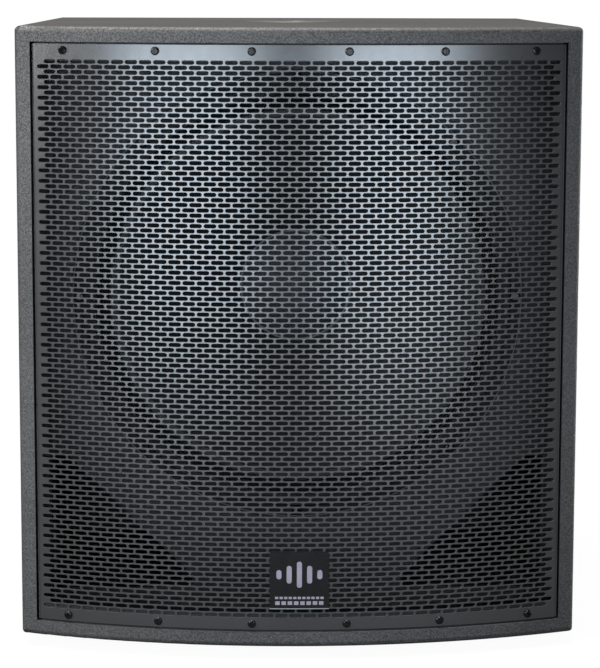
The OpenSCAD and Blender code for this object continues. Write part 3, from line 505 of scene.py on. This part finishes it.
def sheet_columns():
    """Front and back plan positions of the grid's upright lines, from left to right."""
    step = SLOT_PITCH / 2
    start = -(SLOTS_IN_ROW * 2 + 1) * step / 2
    grid = [start + step * k for k in range(SLOTS_IN_ROW * 2 + 2)]
    middle = [(on_sheet(s, 0), on_sheet(s, SHEET_T)) for s in grid]
    cx = GRILLE_X - BEND_OUT
    cy = Y_ARC - sqrt((GRILLE_R - BEND_OUT) ** 2 - cx ** 2)
    lean = math.asin(cx / (GRILLE_R - BEND_OUT))
    side = [((GRILLE_X, FOLD_Y), (GRILLE_X - SHEET_T, FOLD_Y)),
            ((GRILLE_X, (FOLD_Y + cy) / 2), (GRILLE_X - SHEET_T, (FOLD_Y + cy) / 2))]
    for k in range(BEND_STEPS + 1):
        a = pi / 2 + (lean - pi / 2) * k / BEND_STEPS
        side.append(((cx + BEND_OUT * sin(a), cy - BEND_OUT * cos(a)),
                     (cx + BEND_IN * sin(a), cy - BEND_IN * cos(a))))
    left = [tuple((-x, y) for x, y in pair) for pair in side]
    return left + middle + side[::-1], len(side), grid


def slot_loop(grow):
    """Outline of a slot about its own middle, anticlockwise seen from the front."""
    r = SLOT_HIGH / 2 + grow
    half = (SLOT_LEN - SLOT_HIGH) / 2
    turn = [-pi / 2 + pi * k / END_STEPS for k in range(END_STEPS + 1)]
    right = [(half + r * cos(a), r * sin(a)) for a in turn]
    return right + [(-x, -z) for x, z in right]


def ring_round_slot(low, top, start):
    """Faces from the six grid points round a slot to its outline, whose first vertex is start."""
    bl, bm, br = low
    tl, tm, tr = top
    e, half = END_STEPS, END_STEPS // 2
    right = [start + k for k in range(e + 1)]
    left = [start + e + 1 + k for k in range(e + 1)]
    ring = [(bl, bm, left[e]), (bm, right[0], left[e]), (bm, br, right[0])]
    ring += [(br, right[k + 1], right[k]) for k in range(half)]
    ring += [(br, tr, right[half + 1], right[half])]
    ring += [(tr, right[k + 1], right[k]) for k in range(half + 1, e)]
    ring += [(tr, tm, right[e]), (tm, left[0], right[e]), (tm, tl, left[0])]
    ring += [(tl, left[k + 1], left[k]) for k in range(half)]
    ring += [(tl, bl, left[half + 1], left[half])]
    ring += [(bl, left[k + 1], left[k]) for k in range(half + 1, e)]
    return ring


def sheet_rims(at, last, width):
    """Faces that close the sheet's thickness along its two sides, its top and its bottom."""
    faces = []
    for line in range(last):
        for column, flip in ((0, 1), (width - 1, 0)):
            quad = (at(line, column, 0), at(line + 1, column, 0),
                    at(line + 1, column, 1), at(line, column, 1))
            faces.append(quad if flip else quad[::-1])
    for column in range(width - 1):
        faces.append((at(0, column, 0), at(0, column + 1, 0),
                      at(0, column + 1, 1), at(0, column, 1)))
        faces.append((at(last, column, 1), at(last, column + 1, 1),
                      at(last, column + 1, 0), at(last, column, 0)))
    return faces


def perforated_sheet(name, row_from, row_to, z_top, z_low):
    """Rows of slots between two heights, as one closed solid sheet."""
    columns, first, grid = sheet_columns()
    width = len(columns)
    row_line = TOP_ROW_Z + ROW_PITCH / 2
    lines = [row_line - ROW_PITCH * j for j in range(row_from, row_to + 1)]
    heights = ([z_top] if z_top - lines[0] > 1e-6 else []) + lines
    above = len(heights) - len(lines)
    if lines[-1] - z_low > 1e-6:
        heights.append(z_low)
    verts, faces = [], []
    for z in heights:
        verts += [(x, y, z) for (x, y), _ in columns]
        verts += [(x, y, z) for _, (x, y) in columns]

    def at(line, column, back):
        return line * 2 * width + back * width + column

    def plain_cells(line, chosen):
        for back in (0, 1):
            for column in chosen:
                quad = (at(line + 1, column, back), at(line + 1, column + 1, back),
                        at(line, column + 1, back), at(line, column, back))
                faces.append(quad[::-1] if back else quad)

    outlines = [(slot_loop(PUNCH_ROLL), 0.0), (slot_loop(0), PUNCH_ROLL), (slot_loop(0), SHEET_T)]
    count = len(outlines[0][0])

    def slot(line, column, s, z):
        base = len(verts)
        for outline, depth in outlines:
            for ds, dz in outline:
                verts.append((*on_sheet(s + ds, depth), z + dz))
        for back, start in ((0, base), (1, base + 2 * count)):
            low = [at(line + 1, column + k, back) for k in range(3)]
            top = [at(line, column + k, back) for k in range(3)]
            ring = ring_round_slot(low, top, start)
            faces.extend(f[::-1] if back else f for f in ring)
        for layer in (0, 1):
            for k in range(count):
                a = base + layer * count + k
                b = base + layer * count + (k + 1) % count
                faces.append((a, b, b + count, a + count))

    slot_lines = range(above, above + row_to - row_from)
    for line in range(len(heights) - 1):
        if line not in slot_lines:
            plain_cells(line, range(width - 1))
            continue
        row = row_from + line - above
        z = TOP_ROW_Z - ROW_PITCH * row
        start = first + (row + 1) % 2
        end = start + 2 * SLOTS_IN_ROW
        for column in range(start, end, 2):
            slot(line, column, grid[column - first] + SLOT_PITCH / 2, z)
        plain_cells(line, [*range(start), *range(end, width - 1)])
    faces += sheet_rims(at, len(heights) - 1, width)
    return solid(name, verts, faces, "grille_steel", "cabinet", node="grille")


SPLIT_ROW = ROWS // 2
SPLIT_Z = TOP_ROW_Z + ROW_PITCH / 2 - ROW_PITCH * SPLIT_ROW
perforated_sheet("grille_sheet_upper", 0, SPLIT_ROW, GRILLE_TOP, SPLIT_Z)
perforated_sheet("grille_sheet_lower", SPLIT_ROW, ROWS, SPLIT_Z, GRILLE_LOW)


# ---------------------------------------------------------------- driver's soft parts

def ripple(r_in, r_out, waves, high, steps):
    """Radii and heights of a sheet pressed into waves that die out at both ends."""
    out = []
    for i in range(steps + 1):
        u = i / steps
        fade = min(1.0, 6 * u, 6 * (1 - u))
        out.append((r_in + (r_out - r_in) * u, high * fade * sin(2 * pi * waves * u)))
    return out


def flexing_ring(node, slot, sectors, inner, outer, depth, thick, waves, high, wave_in, wave_out):
    """A pressed ring in sectors, each reaching from its fixed outer edge to the moving cone."""
    pressed = ripple(wave_in, wave_out, waves, high, waves * 8)
    mid = [(inner, 0.0)] + pressed + [(outer, 0.0)]
    front = [(r, depth - thick / 2 + h) for r, h in mid]
    rear = [(r, depth + thick / 2 + h) for r, h in mid]
    for k in range(sectors):
        a, b = 2 * pi * k / sectors, 2 * pi * (k + 1) / sectors
        piece = turned_sector(f"{node}_{k + 1:02d}", front, rear, a, b, 4, slot)
        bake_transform(piece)
        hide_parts(node)


flexing_ring("surround", "surround_cloth", sectors=36, inner=0.1822, outer=0.2153,
             depth=-0.0035, thick=0.0008, waves=6, high=0.0013, wave_in=0.1875, wave_out=0.2060)
flexing_ring("spider", "spider_cloth", sectors=24, inner=0.0509, outer=0.1088,
             depth=0.10635, thick=0.0007, waves=6, high=0.0018, wave_in=0.0560, wave_out=0.0965)


def cap_glue_bead(size=0.0012, steps=120):
    """Half-round bead of glue that holds the dust cap on the cone."""
    turn = [pi + pi * k / 6 for k in range(7)]
    ring = [(CAP_R + size * cos(a), CAP_DEPTH + size * 0.7 * sin(a)) for a in turn]
    flat = [(CAP_R + size * cos(a), CAP_DEPTH + size * 0.15) for a in turn]
    bead = turned_sector("cap_glue_bead", ring, flat, 0, 2 * pi, steps, "cone_paper")
    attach(bead, "cone_assembly")


cap_glue_bead()


def bezier(a, b, c, d, t):
    """Point of a cubic piece at t."""
    return [(1 - t) ** 3 * p + 3 * t * (1 - t) ** 2 * q + 3 * t * t * (1 - t) * r + t ** 3 * s
            for p, q, r, s in zip(a, b, c, d)]


def tube(name, path, r, slot, sides=12):
    """Round lead along a path of points, closed at both ends."""
    verts, faces = [], []
    n = len(path)
    up = Vector((0.31, 0.17, 0.93))  # no lead points this way
    for i, p in enumerate(path):
        along = (Vector(path[min(i + 1, n - 1)]) - Vector(path[max(i - 1, 0)])).normalized()
        u = along.cross(up).normalized()
        v = along.cross(u)
        for k in range(sides):
            a = 2 * pi * k / sides
            verts.append(Vector(p) + r * (cos(a) * u + sin(a) * v))
    for i in range(n - 1):
        for k in range(sides):
            a, b = i * sides + k, i * sides + (k + 1) % sides
            faces.append((a, a + sides, b + sides, b))
    faces.append(tuple(range(sides)))
    faces.append(tuple((n - 1) * sides + k for k in range(sides - 1, -1, -1)))
    return solid(name, verts, faces, slot)


def driver_place(x, down, depth):
    """Point beside, below and behind the middle of the baffle's cut-out."""
    return (x, Y_BAFFLE + depth, Z_DRIVER - down)


# from the terminal strip to the cone: beside the middle, below it, behind the baffle's face
TINSEL_BEND = ((0.009, 0.123, 0.1229), (0.009, 0.127, 0.1069),
               (0.017, 0.106, 0.07786), (0.017, 0.092, 0.06386))
TINSEL_R, TINSEL_STEPS = 0.0009, 28

for side, label in ((-1, "left"), (1, "right")):
    a, a_out, b_out, b = (driver_place(side * x, down, depth) for x, down, depth in TINSEL_BEND)
    path = [bezier(a, a_out, b_out, b, k / TINSEL_STEPS) for k in range(TINSEL_STEPS + 1)]
    lead = tube(f"tinsel_lead_{label}", path, TINSEL_R, "braid")
    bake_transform(lead)
    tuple(a)
    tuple(b)
    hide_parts("tinsel_leads")


# ---------------------------------------------------------------- damping pads

PAD_CELL = 0.014
PAD_EDGE = 0.009
PAD_PULL = 0.30
PAD_LUMPS = 0.12


def felt_place(p, lo, hi, face_axis):
    """Moves a point of a block's surface to where the rounded, uneven felt lies."""
    size, middle = hi - lo, (lo + hi) / 2
    for c in range(3):
        near = max(0.0, 1 - (size[c] / 2 - abs(p[c] - middle[c])) / PAD_EDGE)
        for d in range(3):
            if d != c:
                away = size[d] / 2 - abs(p[d] - middle[d])
                if away < PAD_EDGE:
                    pull = PAD_EDGE * PAD_PULL * near * (1 - away / PAD_EDGE)
                    p[d] -= math.copysign(pull, p[d] - middle[d])
    lump = 0.5 + 0.5 * noise.noise(p * 22) + 0.3 * noise.noise(p * 70)
    p[face_axis] += (middle[face_axis] - p[face_axis]) * PAD_LUMPS * lump
    return p


def damping_pad(node, face_axis):
    """Soft felt block with rounded edges and a quilted, uneven face, inside its CAD solid."""
    lo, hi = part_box(node)
    size = hi - lo
    cells = [max(3, round(s / PAD_CELL)) for s in size]
    index, verts, faces = {}, [], []

    def vertex(i, j, k):
        key = (i, j, k)
        if key not in index:
            unit = Vector((2 * i / cells[0] - 1, 2 * j / cells[1] - 1, 2 * k / cells[2] - 1))
            p = Vector(lo[c] + size[c] * (unit[c] + 1) / 2 for c in range(3))
            index[key] = len(verts)
            verts.append(felt_place(p, lo, hi, face_axis))
        return index[key]

    for axis in range(3):
        u, v = (axis + 1) % 3, (axis + 2) % 3
        for end in (0, cells[axis]):
            for i in range(cells[u]):
                for j in range(cells[v]):
                    quad = []
                    for di, dj in ((0, 0), (1, 0), (1, 1), (0, 1)):
                        key = [0, 0, 0]
                        key[axis], key[u], key[v] = end, i + di, j + dj
                        quad.append(vertex(*key))
                    faces.append(tuple(quad if end else quad[::-1]))
    pad = solid(f"{node}_felt", verts, faces, "lining_wool", "cabinet", sharp_deg=180, node=node)


damping_pad("lining_back", 1)
damping_pad("lining_left", 0)
damping_pad("lining_right", 0)
damping_pad("lining_top", 2)


# ---------------------------------------------------------------- floor, light and camera

FLOOR_Z = -0.0004  # a hair under the feet, so that no two faces coincide
FLOOR_REACH, FLOOR_SIDES = 120.0, 48
FLOOR_GLOW = 1.13
FLOOR_GLOW_SHARE = 0.85


def studio_floor():
    """Pale floor that shows nearly white, with the faintest shadow under the object."""
    s = Shader("floor_look", rough=1.0, Specular_IOR_Level=0.0)
    s.color(s.mix(s.noise(3, detail=3.0), (0.11, 0.11, 0.11), (0.13, 0.13, 0.13)))
    glow = s.node("ShaderNodeEmission")
    glow.inputs["Strength"].default_value = FLOOR_GLOW
    both = s.node("ShaderNodeMixShader")
    seen = s.math("MULTIPLY", s.node("ShaderNodeLightPath").outputs["Is Camera Ray"],
                  FLOOR_GLOW_SHARE)
    s.feed(both.inputs[0], seen)
    s.tree.links.new(s.bsdf.outputs[0], both.inputs[1])
    s.tree.links.new(glow.outputs[0], both.inputs[2])
    surface = next(n for n in s.tree.nodes if n.type == "OUTPUT_MATERIAL").inputs["Surface"]
    s.tree.links.new(both.outputs[0], surface)
    mesh = bpy.data.meshes.new("floor")
    turn = [2 * pi * k / FLOOR_SIDES for k in range(FLOOR_SIDES)]
    mesh.from_pydata([(FLOOR_REACH * cos(a), FLOOR_REACH * sin(a), FLOOR_Z) for a in turn],
                     [], [tuple(range(FLOOR_SIDES))])
    mesh.materials.append(s.mat)
    floor = bpy.data.objects.new("floor", mesh)
    bpy.context.scene.collection.objects.link(floor)


def softbox(name, place, target, size, watts, tint=(1.0, 1.0, 1.0), spread=180):
    """Rectangular light at a place, turned towards a target, never in the picture itself."""
    data = bpy.data.lights.new(name, "AREA")
    data.shape = "RECTANGLE"
    data.size, data.size_y = size
    data.energy = watts
    data.color = tint
    data.spread = math.radians(spread)
    lamp = bpy.data.objects.new(name, data)
    lamp.location = place
    lamp.rotation_euler = (Vector(target) - Vector(place)).to_track_quat("-Z", "Y").to_euler()
    lamp.visible_camera = False
    bpy.context.scene.collection.objects.link(lamp)


def overhead_sun(irradiance, direction, spread_deg, tint):
    """Broad light from nearly straight above."""
    data = bpy.data.lights.new("overhead", "SUN")
    data.energy = irradiance
    data.color = tint
    data.angle = math.radians(spread_deg)
    lamp = bpy.data.objects.new("overhead", data)
    lamp.rotation_euler = Vector(direction).to_track_quat("-Z", "Y").to_euler()
    bpy.context.scene.collection.objects.link(lamp)


def studio_world(seen, light):
    """White to look at, and a dimmer, even light on the object."""
    world = bpy.data.worlds.new("studio")
    world.use_nodes = True
    tree = world.node_tree
    back = tree.nodes["Background"]
    back.inputs["Color"].default_value = (*seen, 1)
    back.inputs["Strength"].default_value = 1.0
    dim = tree.nodes.new("ShaderNodeBackground")
    dim.inputs["Color"].default_value = (*light, 1)
    path = tree.nodes.new("ShaderNodeLightPath")
    both = tree.nodes.new("ShaderNodeMixShader")
    tree.links.new(path.outputs["Is Camera Ray"], both.inputs[0])
    tree.links.new(dim.outputs[0], both.inputs[1])
    tree.links.new(back.outputs[0], both.inputs[2])
    tree.links.new(both.outputs[0], tree.nodes["World Output"].inputs["Surface"])
    bpy.context.scene.world = world


SKY_SEEN, SKY_LIGHT = (1.0, 1.0, 1.0), (0.115, 0.118, 0.125)
COOL, WARM = (0.76, 0.88, 1.0), (1.0, 0.97, 0.93)

studio_floor()
studio_world(SKY_SEEN, SKY_LIGHT)
overhead_sun(9.0, (0.12, 0.04, -1.0), 40, WARM)
softbox("key_left", (-2.3, -1.6, 1.45), (0, 0, 0.45), (1.2, 1.2), 115)
# the two bright stretches that show in the grille
softbox("reflect_left", (-0.46, -1.31, 0.39), (-0.1, -0.28, 0.37), (0.63, 0.50), 3.7, COOL,
        spread=110)
softbox("reflect_right", (0.41, -1.31, 0.39), (0.08, -0.28, 0.37), (0.58, 0.50), 3.4, COOL,
        spread=110)
# fills lower than the top panel, so that it does not mirror them
softbox("fill_right", (2.6, 0.9, 0.30), (0.27, 0.1, 0.3), (1.4, 0.5), 40)
softbox("fill_back", (0.5, 2.8, 0.30), (0.0, 0.3, 0.3), (1.4, 0.5), 40)

LENS_MM, SENSOR_MM = 132.1437, 36.0
CAMERA_YAW, CAMERA_PITCH, CAMERA_ROLL = -0.0214, 0.1425, 0.0027
CAMERA_X, CAMERA_AWAY, CAMERA_UP = -0.0501, 2.3931, 0.6462


def photo_camera():
    """Camera of the product shot: a long lens a little left of the middle and above the top."""
    data = bpy.data.cameras.new("camera")
    data.sensor_width = SENSOR_MM
    data.lens = LENS_MM
    data.clip_start, data.clip_end = 0.05, 500.0
    cam = bpy.data.objects.new("camera", data)
    turn = (Matrix.Rotation(CAMERA_YAW, 4, "Z") @ Matrix.Rotation(pi / 2 - CAMERA_PITCH, 4, "X")
            @ Matrix.Rotation(CAMERA_ROLL, 4, "Z"))
    place = (CAMERA_X, Y_CORNER - CAMERA_AWAY, Z_LOW + CAMERA_UP)
    cam.matrix_world = Matrix.Translation(place) @ turn
    bpy.context.scene.collection.objects.link(cam)
    bpy.context.scene.camera = cam


photo_camera()
bpy.context.scene.view_settings.view_transform = "Standard"
